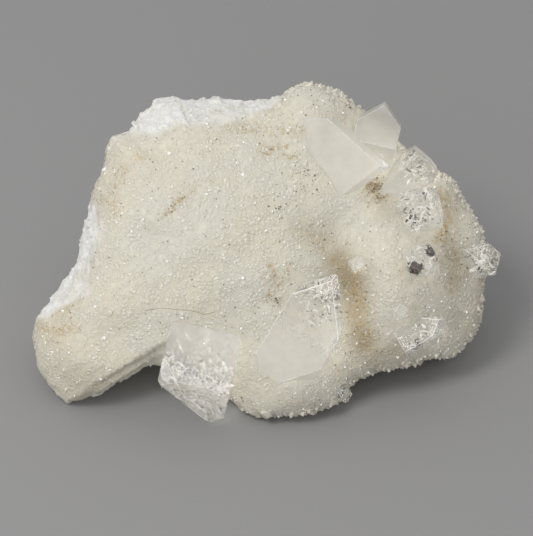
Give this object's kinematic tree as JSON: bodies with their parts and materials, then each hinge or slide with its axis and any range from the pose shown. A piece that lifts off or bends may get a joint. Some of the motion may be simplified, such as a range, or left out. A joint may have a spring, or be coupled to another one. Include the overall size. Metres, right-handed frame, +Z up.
{
  "type": "apophyllite cluster",
  "caption": "Mineral specimen: clear, square-sided apophyllite crystals on a leaning plate of drusy white chalcedony that rests on its broken base.",
  "frame": {"origin": "under the middle of the whole object, on the surface that it rests on", "axes": "+Z up, +X to the right of the drusy face, -Y the way that the drusy face looks"},
  "size_m": [0.1006, 0.0692, 0.0534],
  "materials": {
    "chalcedony": "drusy, sugary white to cream stone",
    "clear_crystal": "clear to frosted crystal faces"
  },
  "bodies": {
    "root": {"drusy_matrix": "chalcedony", "front_left_crystal": "clear_crystal", "front_centre_crystal": "clear_crystal", "upper_crystal_pair": "clear_crystal", "right_crystal_pair": "clear_crystal", "dark_crystal": "clear_crystal", "far_right_crystal": "clear_crystal", "lower_right_crystal": "clear_crystal", "small_crystal_beside_crease": "clear_crystal", "small_crystal_on_right_lobe": "clear_crystal", "small_crystal_at_front_edge": "clear_crystal"}
  },
  "joints": []
}
